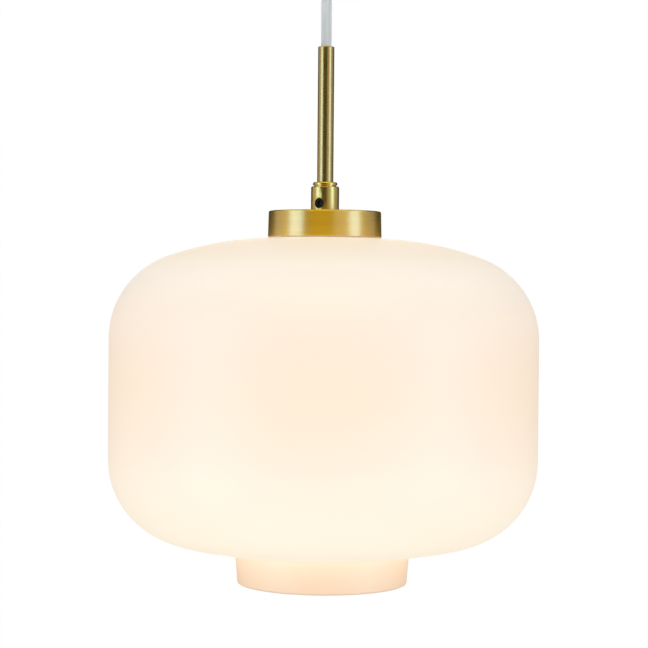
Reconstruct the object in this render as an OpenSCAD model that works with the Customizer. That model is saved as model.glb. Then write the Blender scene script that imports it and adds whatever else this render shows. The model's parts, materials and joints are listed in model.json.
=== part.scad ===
// Pendant ceiling light: an opal glass shade under a brass cap, coupler and stem,
// hung on a round flex from a brass ceiling canopy.
// The origin is on the ceiling plane, on the lamp's axis. +Z points up, -Y is the front.

/* [Ceiling fitting] */
// Outside diameter of the ceiling canopy
canopy_d = 100; // [98:1:130]
// Height of the ceiling canopy
canopy_h = 26; // [26:1:26]
// Distance between the two ceiling screw slots
slot_spacing = 60; // [54:1:62]
// Width of each ceiling screw slot
slot_w = 5; // [4:0.5:6]
// Length of each ceiling screw slot, end to end
slot_l = 14; // [10:1:16]

/* [Cord and stem] */
// Diameter of the round flex
cord_d = 6.4; // [5.8:0.1:6.6]
// Outside diameter of the stem tube
stem_d = 10; // [10:0.5:10]
// Wall of the stem tube
stem_wall = 0.8; // [0.6:0.1:0.9]
// Length of the stem that shows above the collar
stem_l = 83.2; // [60:0.1:200]
// Diameter of the collar on the coupler
collar_d = 15; // [14:0.1:17]
// Diameter of the coupler
coupler_d = 17.3; // [17:0.1:20]
// Height of the coupler
coupler_h = 15.2; // [14:0.1:20]

/* [Cap] */
// Diameter of the cap at its lower edge
cap_d = 70; // [68:1:76]
// Height of the cap
cap_h = 16; // [16:0.5:18]

/* [Glass shade] */
// Widest diameter of the shade
shade_d = 264; // [250:1:300]
// Height of the shade, from its crown to its rim
shade_h = 212.4; // [205:0.1:240]
// Thickness of the glass
glass_t = 3.5; // [3:0.1:4]
// Height of the upright side between the two rounded corners
side_h = 73.6; // [60:0.1:90]
// Radius of the upper corner
top_corner_r = 53.6; // [45:0.1:56]
// Radius of the shallow dome over the upper corner
dome_r = 195; // [160:1:240]
// Radius of the lower corner
bottom_corner_r = 52; // [45:0.5:56]
// Diameter of the neck where it leaves the body
neck_d = 107.2; // [104:0.1:110]
// Diameter of the neck at its rim
rim_d = 104.8; // [102:0.1:108]
// Diameter of the hole that the lampholder comes through
hole_d = 42; // [42:0.5:44]

/* [Bulb] */
// Diameter of the bulb's globe
globe_d = 60; // [54:1:64]
// Length of the bulb, from its tip to its globe's end
bulb_l = 105; // [100:1:112]

/* [Hidden] */
$fn = 96;

// The free cord hangs straight, from its pivot in the grip to its pivot in the stem.
cord_route = [
  [0, 0, -38], [0, 0, -38.5], [0, 0, -39.5], [0, 0, -50], [0, 0, -64], [0, 0, -78],
  [0, 0, -92], [0, 0, -106], [0, 0, -120], [0, 0, -134], [0, 0, -148],
  [0, 0, -160.5], [0, 0, -161.5], [0, 0, -162]
];
cord_sides = 12;
core_sides = 8;
core_d = 2.1;
cord_r = cord_d / 2;
pivot_depth = 2;
end_round = 1.5;
fit = 0.05;
thread_r = 4.95;

grip_pivot_z = cord_route[0][2];
stem_pivot_z = cord_route[len(cord_route) - 1][2];
grip_mouth_z = grip_pivot_z - pivot_depth;
stem_top_z = stem_pivot_z + pivot_depth;

// Ceiling fitting
canopy_r = canopy_d / 2;
canopy_wall = 1;
canopy_plate = 1.2;
canopy_round = 1.2;
canopy_bottom_z = -canopy_h;
strip_t = 1.5;
strip_w = 18;
tab_z = -13;
tab_outer_x = canopy_r - 3.5;
side_screw_z = -7;
side_screw_r = 2;
side_head_r = 3.5;
side_head_h = 2.2;
earth_screw_x = 38.5;
block_size = [28, 17, 13];
block_bottom_z = -strip_t - block_size[2];
pole_x = [-9, 0, 9];
pole_z = -8;
pole_r = 2.1;
pole_bore_r = 1.35;
pole_screw_y = 4.5;
tail_end_z = -18.5;
tail_gap = 1.5;
grip_r = 7.5;
grip_joint_z = -36.5;
grip_socket_r = 5.2;
grip_thread_r = 6.2;
nut_h = 3;
nut_flats = 14;

// Levels down the lamp, from the stem's top to the cap's lower edge
collar_h = 2.7;
collar_top_z = stem_top_z - stem_l;
coupler_top_z = collar_top_z - collar_h;
cap_top_z = coupler_top_z - coupler_h;
cap_bottom_z = cap_top_z - cap_h;
cap_r = cap_d / 2;
cap_top_r = cap_r - 0.4;
cap_wall = 1.2;
cap_round = 1;
stem_r = stem_d / 2;
stem_bore_r = stem_r - stem_wall;
stem_end_z = cap_top_z + 7;
collar_r = collar_d / 2;
coupler_r = coupler_d / 2;
nipple_top_z = cap_top_z + 6.5;
nipple_bottom_z = cap_top_z - 12.5;
nipple_bore_r = 3.9;

// Set screw in the coupler, turned to the front left
set_screw_turn = -116;
set_screw_z = cap_top_z + 4.75;
set_hole_r = 2.9;
set_bevel_r = 3.3;
set_head_x = 7.3;
hex_key = 3;

// Lampholder
washer_t = 0.8;
nut_top_z = cap_top_z - cap_wall - washer_t;
holder_top_z = nut_top_z - nut_h;
holder_r = 19.8;
holder_seam_z = cap_top_z - 17;
holder_roof_z = cap_top_z - 11;
holder_wall = 2;
skirt_top_z = cap_top_z - 13.2;
skirt_step_z = cap_top_z - 31.5;
skirt_bottom_z = cap_top_z - 60;
skirt_neck_r = 17.7;
skirt_bore_r = 16;
skirt_mouth_r = 17.4;
insert_top_z = cap_top_z - 24;
insert_r = 15.9;
post_x = 9.5;
post_size = [5, 6, 6.5];
sheath_end_z = cap_top_z - 13.5;
shell_bore_r = 13.45;
shell_t = 0.5;
shell_bottom_z = cap_top_z - 57;
contact_gap = 0.3;

// Glass shade, as parallel inner and outer outlines
shade_r = shade_d / 2;
gasket_t = 0.7;
crown_z = cap_bottom_z - gasket_t;
crown_r = 30;
hole_r = hole_d / 2;
top_turn = acos((shade_r - top_corner_r - crown_r) / (dome_r - top_corner_r));
side_top_z = crown_z - dome_r + (dome_r - top_corner_r) * sin(top_turn);
side_bottom_z = side_top_z - side_h;
bottom_turn = 84;
rim_z = crown_z - shade_h;
rim_r = rim_d / 2;
neck_r = neck_d / 2;
neck_fillet = 4;
rim_round = 1.2;
under_slope = 90 - bottom_turn;
corner_x = shade_r - bottom_corner_r;
under_start = [
  corner_x + bottom_corner_r * cos(bottom_turn),
  side_bottom_z - bottom_corner_r * sin(bottom_turn)
];
fillet_x = neck_r + neck_fillet;
fillet_z = under_start[1] - (under_start[0] - fillet_x) * tan(under_slope)
  - neck_fillet / cos(under_slope);

// Shade ring and gaskets
ring_top_z = crown_z - glass_t - 1.2;
ring_h = 7.6;
ring_flange_r = 27.5;
ring_hub_r = 23;
ring_bore_r = 19.9;
ring_notches = 12;

// Bulb
tip_z = cap_top_z - 33.3;
tip_r = 4.6;
tip_h = 1.2;
insulator_top_z = tip_z - tip_h - fit;
bulb_shell_r = 13.15;
bulb_lip_r = 12;
bulb_shell_top_z = cap_top_z - 38;
bulb_shell_bottom_z = cap_top_z - 59;
globe_r = globe_d / 2;
globe_end_z = tip_z - bulb_l;
globe_centre_z = globe_end_z + globe_r;
housing_wall = 1.2;
housing_end_r = globe_r * 0.8;
housing_end_z = globe_centre_z + globe_r * 0.6;
housing_top_r = 14.5;

// Points on an arc about (x, z) from one angle to another
function arc(x, z, r, from, to, n) =
  [for (i = [0:n]) let (a = from + (to - from) * i / n) [x + r * cos(a), z + r * sin(a)]];

// The shade's outline a distance t inside its outer face, from the crown to the neck
function shade_outline(t) = concat(
  arc(crown_r, crown_z - dome_r, dome_r - t, 90, top_turn, 10),
  arc(shade_r - top_corner_r, side_top_z, top_corner_r - t, top_turn, 0, 16),
  arc(corner_x, side_bottom_z, bottom_corner_r - t, 0, -bottom_turn, 18),
  arc(fillet_x, fillet_z, neck_fillet + t, 90 + under_slope, 180, 8)
);

function reversed(list) = [for (i = [len(list) - 1:-1:0]) list[i]];

// Direction of travel along a route at point i
function heading(route, i) =
  let (a = route[max(i - 1, 0)], b = route[min(i + 1, len(route) - 1)])
  (b - a) / norm(b - a);

// One ring of a tube: across and up lie square to the heading, and across is square to side too
function ring(route, i, r, sides, side) =
  let (
    h = heading(route, i),
    across = cross(h, side) / norm(cross(h, side)),
    up = cross(h, across)
  )
  [for (k = [0:sides - 1]) route[i] + r * (across * cos(360 * k / sides) + up * sin(360 * k / sides))];

// A closed tube through the points of a route, with one radius for each point.
// The route never heads along side.
module tube(route, radii, sides, side) {
  n = len(route);
  points = [for (i = [0:n - 1]) each ring(route, i, radii[i], sides, side)];
  walls = [
    for (i = [0:n - 2]) for (k = [0:sides - 1])
      let (a = i * sides + k, b = i * sides + (k + 1) % sides)
      each [[a, b, b + sides], [a, b + sides, a + sides]]
  ];
  start = [[for (k = [sides - 1:-1:0]) k]];
  end = [[for (k = [0:sides - 1]) (n - 1) * sides + k]];
  polyhedron(points = points, faces = concat(start, walls, end), convexity = 4);
}

// A smooth route through a few corner points, by Catmull-Rom
function smooth(p, steps) = [
  for (i = [0:len(p) - 2]) for (s = [0:steps - 1])
    let (
      t = s / steps,
      a = p[max(i - 1, 0)],
      b = p[i],
      c = p[i + 1],
      d = p[min(i + 2, len(p) - 1)]
    )
    0.5 * (2 * b + (c - a) * t + (2 * a - 5 * b + 4 * c - d) * t * t + (3 * b - a - 3 * c + d) * t * t * t),
  p[len(p) - 1]
];

module core(corners, side) {
  route = smooth(corners, 4);
  tube(route, [for (p = route) core_d / 2], core_sides, side);
}

// A cylinder between two heights
module post(r, bottom, top) {
  translate([0, 0, bottom]) cylinder(r = r, h = top - bottom);
}

// A round part with a hole, between two heights
module sleeve(outer, inner, bottom, top) {
  difference() {
    post(outer, bottom, top);
    post(inner, bottom - 1, top + 1);
  }
}

// A hexagonal nut on the axis
module hex_nut(flats, bore_r, bottom, top) {
  difference() {
    translate([0, 0, bottom]) cylinder(d = flats / cos(30), h = top - bottom, $fn = 6);
    post(bore_r, bottom - 1, top + 1);
  }
}

// A screw along +X with its thread's end at x = 0 and a slot in its head
module slotted_screw(r, length, head_r, head_h) {
  difference() {
    rotate([0, 90, 0]) union() {
      cylinder(r = r, h = length);
      translate([0, 0, length]) cylinder(r = head_r, h = head_h);
    }
    translate([length + head_h * 0.45, -head_r - 1, -head_r * 0.12])
      cube([head_h, 2 * head_r + 2, head_r * 0.24]);
  }
}

module end_tab(side) {
  translate([side > 0 ? tab_outer_x - strip_t : -tab_outer_x, -strip_w / 2, tab_z])
    cube([strip_t, strip_w, -tab_z]);
}

module ceiling_bracket() {
  color("silver") difference() {
    union() {
      translate([-tab_outer_x, -strip_w / 2, -strip_t]) cube([2 * tab_outer_x, strip_w, strip_t]);
      end_tab(1);
      end_tab(-1);
    }
    for (side = [-1, 1]) {
      translate([side * slot_spacing / 2, 0, -strip_t - 1]) union() {
        for (end = [-1, 1])
          translate([end * (slot_l - slot_w) / 2, 0, 0]) cylinder(d = slot_w, h = strip_t + 2);
        translate([-(slot_l - slot_w) / 2, -slot_w / 2, 0])
          cube([slot_l - slot_w, slot_w, strip_t + 2]);
      }
      translate([side * (tab_outer_x - strip_t / 2), 0, side_screw_z]) rotate([0, 90, 0])
        cylinder(r = side_screw_r + fit, h = strip_t * 2, center = true);
    }
    translate([earth_screw_x + 2.5, 5.5, 0]) cylinder(r = 1.5 + fit, h = strip_t * 4, center = true);
  }
}

module bracket_earth_screw() {
  color("gold") translate([earth_screw_x + 2.5, 5.5, -0.2]) rotate([0, 90, 0])
    slotted_screw(1.5, strip_t + 2, 2.6, 1.6);
}

module canopy() {
  inner = canopy_r - canopy_wall;
  plate_z = canopy_bottom_z + canopy_plate;
  color("darkgoldenrod") difference() {
    rotate_extrude() polygon(concat(
      [[stem_r + fit, canopy_bottom_z]],
      arc(canopy_r - canopy_round, canopy_bottom_z + canopy_round, canopy_round, -90, 0, 4),
      [[canopy_r, 0], [inner, 0], [inner, plate_z], [stem_r + fit, plate_z]]
    ));
    for (turn = [0, 180]) rotate([0, 0, turn]) translate([inner - 2, 0, side_screw_z])
      rotate([0, 90, 0]) cylinder(r = side_screw_r + fit, h = canopy_wall + 4);
  }
}

module canopy_screws() {
  color("gold") for (turn = [0, 180]) rotate([0, 0, turn])
    translate([tab_outer_x - 3.5, 0, side_screw_z])
    slotted_screw(side_screw_r, canopy_r - tab_outer_x + 3.5, side_head_r, side_head_h);
}

module grip_body() {
  plate_top = canopy_bottom_z + canopy_plate;
  color("darkgoldenrod") difference() {
    union() {
      post(thread_r, canopy_bottom_z - 1, plate_top + nut_h + 2);
      post(grip_r, grip_joint_z, canopy_bottom_z);
    }
    post(cord_r + 0.1, grip_joint_z - 1, plate_top + nut_h + 3);
    post(grip_socket_r + fit, grip_joint_z - 1, canopy_bottom_z - 3);
    post(grip_thread_r + fit, grip_joint_z - 1, grip_joint_z + 3);
    translate([0, 0, canopy_bottom_z - 5]) rotate([90, 0, 0]) cylinder(r = 1.5 + fit, h = grip_r + 1);
  }
}

module grip_nut() {
  plate_top = canopy_bottom_z + canopy_plate;
  color("silver") hex_nut(nut_flats, thread_r + fit, plate_top, plate_top + nut_h);
}

module grip_insert() {
  color("white") difference() {
    sleeve(grip_socket_r, cord_r + 0.02, grip_joint_z + 1.5, canopy_bottom_z - 3);
    translate([cord_r - 1, -0.5, grip_joint_z]) cube([grip_socket_r, 1, grip_r * 2]);
  }
}

module grip_ferrule() {
  top = grip_joint_z + 3;
  color("darkgoldenrod") rotate_extrude() polygon([
    [cord_r + 0.3, grip_joint_z], [grip_socket_r + 0.1, grip_mouth_z + 0.3],
    [grip_socket_r + 0.5, grip_mouth_z], [grip_r - 0.6, grip_mouth_z],
    [grip_r, grip_mouth_z + 0.6], [grip_r, grip_joint_z], [grip_thread_r, grip_joint_z],
    [grip_thread_r, top], [grip_socket_r + 0.1, top],
    [grip_socket_r + 0.1, grip_joint_z + 0.8], [cord_r + 0.3, grip_joint_z + 0.8]
  ]);
}

module grip_screw() {
  color("gold") translate([0, 0, canopy_bottom_z - 5]) rotate([90, 0, 0]) difference() {
    translate([0, 0, grip_socket_r + 0.1]) cylinder(r = 1.5, h = 2);
    translate([-2, -0.2, grip_socket_r + 1.5]) cube([4, 0.4, 2]);
  }
}

module terminal_block() {
  color("white") difference() {
    translate([-block_size[0] / 2, -block_size[1] / 2, block_bottom_z]) cube(block_size);
    for (x = pole_x) {
      translate([x, 0, pole_z]) rotate([90, 0, 0])
        cylinder(r = pole_r + fit, h = block_size[1] + 2, center = true);
      for (y = [-pole_screw_y, pole_screw_y])
        translate([x, y, block_bottom_z - 1]) cylinder(r = 1.9, h = pole_z - block_bottom_z + 1);
    }
  }
}

module terminal_tubes() {
  color("gold") for (x = pole_x) difference() {
    translate([x, 0, pole_z]) rotate([90, 0, 0])
      cylinder(r = pole_r, h = block_size[1] - 1, center = true);
    translate([x, 0, pole_z]) rotate([90, 0, 0])
      cylinder(r = pole_bore_r, h = block_size[1] + 2, center = true);
    for (y = [-pole_screw_y, pole_screw_y])
      translate([x, y, block_bottom_z]) cylinder(r = 1.25 + fit, h = pole_z - block_bottom_z);
  }
}

module terminal_screws() {
  color("silver") for (x = pole_x) for (y = [-pole_screw_y, pole_screw_y])
    translate([x, y, pole_z - core_d / 2 - 0.1]) rotate([0, 90, 0])
    slotted_screw(1.25, 2.8, 1.75, 1.4);
}

// The short link from the middle pole to the screw on the bracket
module earth_link() {
  color("limegreen") core([
    [0, 6, -8], [0, 9, -8], [1, 13, -9], [8, 16, -10], [20, 15, -10],
    [32, 13, -8], [36, 10, -5], [37, 7, -3]
  ], [0, 0, 1]);
}

module cord_tail() {
  color("whitesmoke") post(cord_r, grip_pivot_z + tail_gap, tail_end_z);
}

// A core from the end of the cord's sheath into one pole of the terminal block
module tail_core(x) {
  core([
    [x * 0.15, 0.8, -18.4], [x * 0.17, 0.5, -17.3], [x * 0.22, -0.3, -16.4], [x * 0.3, -1.7, -15.8],
    [x * 0.41, -3.8, -15.7], [x * 0.6, -7, -15.7], [x * 0.85, -11, -15.6], [x * 0.97, -13.6, -14.3],
    [x, -14.4, -12], [x, -13.4, -9.7], [x, -11.4, -8.3], [x, -8.6, -8], [x, -5.8, -8]
  ], [1, 0, 0]);
}

module tail_core_brown() {
  color("saddlebrown") tail_core(pole_x[0]);
}

module tail_core_blue() {
  color("royalblue") tail_core(pole_x[2]);
}

module tail_core_earth() {
  color("limegreen") core([
    [0, -1.5, -18.4], [0, -1.85, -17.3], [0, -2.7, -16.4], [0, -4.1, -15.8], [0, -6.3, -15.7],
    [0, -9, -15.7], [0, -11.6, -15.4], [0, -13.8, -14.2], [0, -14.6, -12], [0, -13.5, -9.7],
    [0, -11.4, -8.3], [0, -8.6, -8], [0, -5.8, -8]
  ], [1, 0, 0]);
}

module cord() {
  last = len(cord_route) - 1;
  inset = cord_r - end_round;
  color("whitesmoke") tube(
    cord_route,
    [for (i = [0:last]) min(i, last - i) == 0 ? inset : min(i, last - i) == 1 ? cord_r - 0.4 : cord_r],
    cord_sides, [1, 0, 0]
  );
}

module stem_tube() {
  lip = stem_wall - 0.1;
  color("darkgoldenrod") rotate_extrude() polygon(concat(
    [[stem_bore_r, stem_end_z], [stem_r, stem_end_z]],
    arc(stem_r - lip, stem_top_z - lip, lip, 0, 90, 5),
    [[stem_bore_r, stem_top_z - 0.1]]
  ));
}

module stem_collar() {
  groove_h = 0.7;
  groove_r = collar_r - 0.8;
  edge = 0.9;
  color("darkgoldenrod") rotate_extrude() polygon(concat(
    [[stem_r + fit, coupler_top_z], [groove_r, coupler_top_z], [groove_r, coupler_top_z + groove_h]],
    arc(collar_r - edge * 0.4, coupler_top_z + groove_h + edge * 0.4, edge * 0.4, -90, 0, 3),
    arc(collar_r - edge, collar_top_z - edge, edge, 0, 90, 5),
    [[stem_r + fit, collar_top_z]]
  ));
}

module coupler() {
  edge = 0.5;
  color("darkgoldenrod") difference() {
    rotate_extrude() polygon([
      [stem_r + fit, cap_top_z], [coupler_r, cap_top_z], [coupler_r, coupler_top_z - edge],
      [coupler_r - edge, coupler_top_z], [stem_r + fit, coupler_top_z]
    ]);
    rotate([0, 0, set_screw_turn]) translate([0, 0, set_screw_z]) rotate([0, 90, 0]) {
      cylinder(r = set_hole_r, h = coupler_r + 1);
      translate([0, 0, coupler_r - 0.6]) cylinder(r1 = set_hole_r, r2 = set_bevel_r + 0.6, h = 1.2);
    }
  }
}

module set_screw() {
  color("dimgray") rotate([0, 0, set_screw_turn]) translate([0, 0, set_screw_z]) rotate([0, 90, 0])
    difference() {
      translate([0, 0, stem_r]) cylinder(r = set_hole_r - fit, h = set_head_x - stem_r);
      translate([0, 0, set_head_x - 1.4]) cylinder(d = hex_key / cos(30), h = 2, $fn = 6);
    }
}

module nipple() {
  color("silver") sleeve(thread_r, nipple_bore_r, nipple_bottom_z, nipple_top_z);
}

module cap() {
  color("darkgoldenrod") rotate_extrude() polygon(concat(
    [[stem_r + fit, cap_top_z - cap_wall], [cap_top_r - cap_wall, cap_top_z - cap_wall]],
    [[cap_r - cap_wall, cap_bottom_z], [cap_r, cap_bottom_z]],
    arc(cap_top_r - cap_round, cap_top_z - cap_round, cap_round, 0, 90, 5),
    [[stem_r + fit, cap_top_z]]
  ));
}

module lock_washer() {
  teeth = 12;
  color("silver") difference() {
    sleeve(9, stem_r + fit, cap_top_z - cap_wall - washer_t, cap_top_z - cap_wall);
    for (k = [0:teeth - 1]) rotate([0, 0, k * 360 / teeth])
      translate([8, -0.6, nut_top_z - 1]) cube([3, 1.2, washer_t + 2]);
  }
}

module nipple_nut() {
  color("silver") hex_nut(nut_flats, thread_r + fit, holder_top_z, nut_top_z);
}

module cord_in_stem() {
  color("whitesmoke") post(cord_r, sheath_end_z, stem_pivot_z - tail_gap);
}

// A core from the end of the sheath to the terminal post at x
module holder_core(x) {
  z = cap_top_z;
  core([
    [x * 0.17, 0, z - 13.6], [x * 0.2, 0, z - 14.6], [x * 0.34, 0, z - 15.5], [x * 0.6, 0, z - 15.9],
    [x * 0.82, 0, z - 16.2], [x * 0.96, 0, z - 17.1], [x, 0, z - 18.4], [x, 0, z - 20]
  ], [0, 1, 0]);
}

module holder_core_brown() {
  color("saddlebrown") holder_core(-post_x);
}

module holder_core_blue() {
  color("royalblue") holder_core(post_x);
}

module holder_core_earth() {
  z = cap_top_z;
  color("limegreen") core([
    [0, 1.6, z - 13.6], [0, 2, z - 15], [0, 5, z - 16.5], [0, 9, z - 16], [0, 11, z - 14.6]
  ], [1, 0, 0]);
}

module holder_earth_screw() {
  color("gold") translate([0, 13, holder_roof_z + 1.2]) rotate([0, 90, 0])
    slotted_screw(1.5, 2.6, 2.6, 1.2);
}

module holder_cap() {
  boss_r = 8.6;
  boss_z = cap_top_z - 9;
  shoulder_z = holder_roof_z - 2;
  color("gainsboro") difference() {
    rotate_extrude() polygon([
      [stem_r + fit, holder_top_z], [boss_r, holder_top_z], [boss_r, boss_z],
      [holder_r - 4, boss_z - 0.6], [holder_r - 1, boss_z - 2], [holder_r, shoulder_z],
      [holder_r, holder_seam_z], [holder_r - holder_wall, holder_seam_z],
      [holder_r - holder_wall, shoulder_z], [holder_r - holder_wall - 3, holder_roof_z],
      [stem_r + fit, holder_roof_z]
    ]);
    translate([0, 13, holder_roof_z - 1]) cylinder(r = 1.5 + fit, h = 2.3);
  }
}

module holder_skirt() {
  color("gainsboro") rotate_extrude() polygon([
    [skirt_bore_r, skirt_top_z], [skirt_neck_r, skirt_top_z], [skirt_neck_r, holder_seam_z],
    [holder_r, holder_seam_z], [holder_r, skirt_bottom_z + 1], [holder_r - 1, skirt_bottom_z],
    [skirt_mouth_r, skirt_bottom_z], [skirt_mouth_r, skirt_step_z - 1], [skirt_bore_r, skirt_step_z]
  ]);
}

module holder_insert() {
  color("ivory") difference() {
    post(insert_r, skirt_step_z, insert_top_z);
    translate([-3, -2.6, skirt_step_z - 1]) cube([6, 5.2, 3]);
    translate([8, -2, skirt_step_z - 1]) cube([4, 4, 2]);
  }
}

module holder_terminals() {
  color("gold") for (side = [-1, 1]) difference() {
    translate([side * post_x - post_size[0] / 2, -post_size[1] / 2, insert_top_z]) cube(post_size);
    translate([side * post_x, 0, insert_top_z + 2]) cylinder(r = core_d / 2 + 0.1, h = post_size[2]);
    translate([side * post_x, -post_size[1], insert_top_z + 4.2]) rotate([-90, 0, 0])
      cylinder(r = 1.2 + fit, h = post_size[1]);
  }
}

module holder_screws() {
  color("silver") for (side = [-1, 1])
    translate([side * post_x, -core_d / 2 - 0.15, insert_top_z + 4.2]) rotate([0, 0, -90])
    slotted_screw(1.2, 2.6, 2, 1.2);
}

module holder_shell() {
  flange_r = 9;
  top = skirt_step_z;
  color("gold") rotate_extrude() polygon([
    [flange_r, top], [shell_bore_r + shell_t, top], [shell_bore_r + shell_t, shell_bottom_z],
    [shell_bore_r, shell_bottom_z], [shell_bore_r, top - shell_t], [flange_r, top - shell_t]
  ]);
}

module centre_contact() {
  foot_z = skirt_step_z + 2;
  color("peru") union() {
    translate([-2.6, -2, foot_z - 0.4]) cube([5.2, 4, 0.4]);
    translate([1.8, -2, tip_z + contact_gap]) cube([0.4, 4, foot_z - tip_z - contact_gap]);
    translate([-2.6, -2, tip_z + contact_gap]) cube([4.8, 4, 0.4]);
  }
}

module side_contact() {
  foot_z = skirt_step_z + 1;
  color("peru") union() {
    translate([8.3, -1.5, foot_z - 0.4]) cube([3, 3, 0.4]);
    translate([8.3, -1.5, skirt_step_z]) cube([0.4, 3, 1]);
  }
}

module shade_ring() {
  bottom = ring_top_z - ring_h;
  color("gainsboro") difference() {
    union() {
      sleeve(ring_flange_r, ring_bore_r, ring_top_z - 2, ring_top_z);
      sleeve(ring_hub_r, ring_bore_r, bottom, ring_top_z - 2);
    }
    for (k = [0:ring_notches - 1]) rotate([0, 0, k * 360 / ring_notches])
      translate([ring_hub_r + 0.5, 0, bottom - 1]) cylinder(r = 1.5, h = ring_h - 1);
  }
}

module upper_gasket() {
  color("lightgray") sleeve(cap_r - 0.3, cap_r - 4, crown_z, cap_bottom_z);
}

module lower_gasket() {
  lip_r = hole_r - 0.1;
  under_glass_z = crown_z - glass_t;
  color("lightgray") rotate_extrude() polygon([
    [ring_bore_r, ring_top_z], [ring_flange_r - 0.5, ring_top_z],
    [ring_flange_r - 0.5, under_glass_z], [lip_r, under_glass_z],
    [lip_r, crown_z - 0.3], [ring_bore_r, crown_z - 0.3]
  ]);
}

module glass_shade() {
  color("oldlace") rotate_extrude() polygon(concat(
    [[hole_r, crown_z]],
    shade_outline(0),
    arc(rim_r - rim_round, rim_z + rim_round, rim_round, 0, -90, 4),
    arc(rim_r - glass_t + rim_round, rim_z + rim_round, rim_round, -90, -180, 4),
    reversed(shade_outline(glass_t)),
    [[hole_r, crown_z - glass_t]]
  ));
}

// Where the globe meets the housing, the globe's outline stands at this angle
seam_angle = asin(0.6);

module bulb_globe() {
  inner = globe_r - housing_wall;
  color("white") rotate_extrude() polygon(concat(
    arc(0, globe_centre_z, globe_r, -90, seam_angle, 20),
    arc(0, globe_centre_z, inner, seam_angle, -90, 20)
  ));
}

// The housing's outer face flares from the screw shell to the globe
function housing_outline(t) = [
  for (i = [0:10]) let (u = i / 10)
    [housing_top_r - t + (housing_end_r - housing_top_r) * (1 - cos(90 * u)),
     bulb_shell_bottom_z + (housing_end_z - bulb_shell_bottom_z) * u]
];

module bulb_housing() {
  color("white") rotate_extrude() polygon(concat(
    housing_outline(0),
    reversed(housing_outline(housing_wall))
  ));
}

module led_board() {
  z = housing_end_z + 3;
  color("silver") post(housing_end_r - housing_wall - 2.6, z, z + 1.6);
}

module led_chips() {
  z = housing_end_z + 3;
  color("khaki") for (k = [0:11]) rotate([0, 0, k * 30])
    translate([13 + (k % 2) * 2 - 1.4, -1.4, z - 0.7]) cube([2.8, 2.8, 0.7]);
}

module bulb_driver() {
  z = housing_end_z + 4.6;
  color("seagreen") union() {
    translate([-9, -0.8, z]) cube([18, 1.6, bulb_shell_top_z - 3 - z]);
    translate([-5, 0.8, z + 6]) cube([10, 6, 9]);
    translate([2, -5.5, z + 18]) cube([5, 4.7, 8]);
  }
}

module bulb_shell() {
  color("silver") rotate_extrude() polygon([
    [bulb_lip_r, bulb_shell_top_z], [bulb_shell_r - 0.8, bulb_shell_top_z],
    [bulb_shell_r, bulb_shell_top_z - 1.4], [bulb_shell_r, bulb_shell_bottom_z],
    [bulb_shell_r - 0.6, bulb_shell_bottom_z], [bulb_shell_r - 0.6, bulb_shell_top_z - 1.6],
    [bulb_lip_r, bulb_shell_top_z - 0.6]
  ]);
}

module bulb_insulator() {
  color("dimgray") difference() {
    rotate_extrude() polygon([
      [0, insulator_top_z], [tip_r, insulator_top_z], [bulb_lip_r - fit, bulb_shell_top_z],
      [bulb_lip_r - fit, bulb_shell_top_z - 0.6], [0, bulb_shell_top_z - 0.6]
    ]);
    post(2 + fit, bulb_shell_top_z - 2, insulator_top_z + 1);
  }
}

module bulb_contact() {
  color("silver") rotate_extrude() polygon([
    [0, tip_z], [tip_r - 1.4, tip_z], [tip_r - 0.3, tip_z - tip_h / 2], [tip_r, tip_z - tip_h],
    [2, tip_z - tip_h], [2, tip_z - tip_h - 2], [0, tip_z - tip_h - 2]
  ]);
}

ceiling_bracket();
bracket_earth_screw();
canopy();
canopy_screws();
grip_body();
grip_nut();
grip_insert();
grip_ferrule();
grip_screw();
terminal_block();
terminal_tubes();
terminal_screws();
earth_link();
cord_tail();
tail_core_brown();
tail_core_blue();
tail_core_earth();
cord();
stem_tube();
stem_collar();
coupler();
set_screw();
nipple();
cap();
lock_washer();
nipple_nut();
cord_in_stem();
holder_core_brown();
holder_core_blue();
holder_core_earth();
holder_earth_screw();
holder_cap();
holder_skirt();
holder_insert();
holder_terminals();
holder_screws();
holder_shell();
centre_contact();
side_contact();
shade_ring();
upper_gasket();
lower_gasket();
glass_shade();
bulb_globe();
bulb_housing();
bulb_driver();
led_board();
led_chips();
bulb_shell();
bulb_insulator();
bulb_contact();
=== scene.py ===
"""Pendant ceiling light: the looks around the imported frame.

The lamp's sizes are in millimetres in the frame's own axes, and each mesh is scaled to metres as it
is made. The camera, the lights, the room and the shader's places are in metres.
The lamp's axis is x = y = 0, the ceiling is z = 0, and the front is -y.
"""

import json
from math import acos, asin, atan2, cos, degrees, pi, radians, sin, sqrt, tan

import bmesh
import bpy
from mathutils import Matrix, Vector


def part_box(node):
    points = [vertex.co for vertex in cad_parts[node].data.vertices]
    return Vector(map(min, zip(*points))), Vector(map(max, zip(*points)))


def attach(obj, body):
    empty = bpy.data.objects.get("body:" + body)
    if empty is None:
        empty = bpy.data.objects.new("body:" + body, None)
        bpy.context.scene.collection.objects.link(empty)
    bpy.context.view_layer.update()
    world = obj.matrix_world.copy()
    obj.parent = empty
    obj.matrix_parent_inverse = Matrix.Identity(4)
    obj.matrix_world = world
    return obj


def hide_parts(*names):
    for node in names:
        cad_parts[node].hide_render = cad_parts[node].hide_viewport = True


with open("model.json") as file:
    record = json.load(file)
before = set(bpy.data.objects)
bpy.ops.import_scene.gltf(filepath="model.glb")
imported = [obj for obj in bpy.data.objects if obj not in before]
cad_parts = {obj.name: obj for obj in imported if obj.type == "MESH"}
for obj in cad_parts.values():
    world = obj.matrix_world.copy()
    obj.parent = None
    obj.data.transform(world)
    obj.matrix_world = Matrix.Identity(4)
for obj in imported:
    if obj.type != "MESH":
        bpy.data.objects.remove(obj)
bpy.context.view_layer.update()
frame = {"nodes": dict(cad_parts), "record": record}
scene = bpy.context.scene
MM = 0.001


# -------- places read from the frame


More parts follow.
